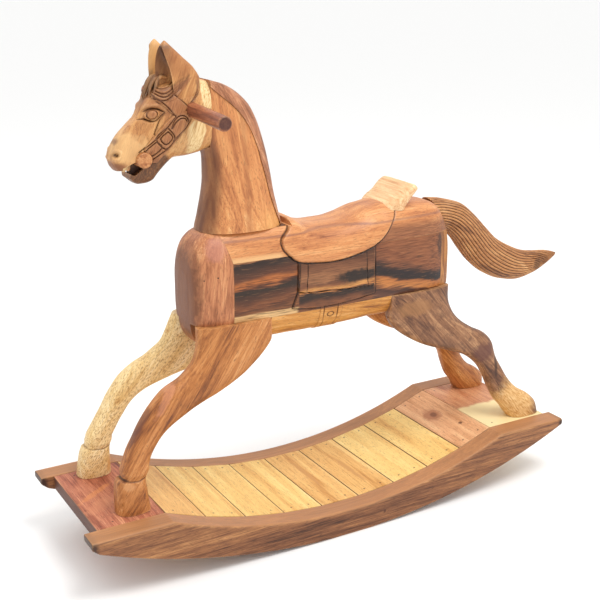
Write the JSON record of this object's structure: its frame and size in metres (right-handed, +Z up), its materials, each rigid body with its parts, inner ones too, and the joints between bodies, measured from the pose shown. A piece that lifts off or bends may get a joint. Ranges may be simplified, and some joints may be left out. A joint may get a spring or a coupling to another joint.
{
  "type": "rocking horse on a slatted rocker base",
  "caption": "Carved wooden rocking horse with saddle, bridle and grip bar, standing on a bowed slatted base with two curved rockers.",
  "frame": {"origin": "on the floor, under the middle of the outline from the rockers' front ends to the tail's tip, on the mid plane between the rockers", "axes": "-X the way the horse faces, so +X towards the tail; +Z up; the horse's left side is at -Y"},
  "size_m": [0.991, 0.2818, 0.8085],
  "materials": {
    "pine_slats": "smooth sanded pale boards with fine brown streaks, thin oil finish",
    "oiled_rails": "sanded salmon-brown hardwood, oiled, dark end grain",
    "red_platform": "reddish board with orange streaks, oiled",
    "tan_carving": "hand carved and sanded tan hardwood, oiled",
    "dark_heartwood": "very dark streaked heartwood, oiled",
    "pale_sapwood": "pale sapwood with dark specks, oiled",
    "brown_carving": "hand carved mid-brown hardwood with darker streaks, oiled"
  },
  "bodies": {
    "root": {"left_rocker_rail": "oiled_rails", "right_rocker_rail": "oiled_rails", "front_platform_board": "red_platform", "rear_platform_board": "pine_slats", "chest_block": "tan_carving", "saddle_board": "tan_carving", "barrel_block": "dark_heartwood", "rump_block": "tan_carving", "belly_board": "brown_carving", "cantle": "pale_sapwood", "neck": "tan_carving", "mane": "tan_carving", "head": "tan_carving", "handle_bar": "tan_carving", "bit_bar": "tan_carving", "left_front_leg": "brown_carving", "right_front_leg": "pale_sapwood", "left_hind_leg": "brown_carving", "right_hind_leg": "brown_carving", "tail": "brown_carving", "slat_1": "pine_slats", "slat_2": "pine_slats", "slat_3": "pine_slats", "slat_4": "pine_slats", "slat_5": "pine_slats", "slat_6": "pine_slats", "slat_7": "pine_slats", "slat_8": "pine_slats", "slat_9": "pine_slats"}
  },
  "joints": []
}
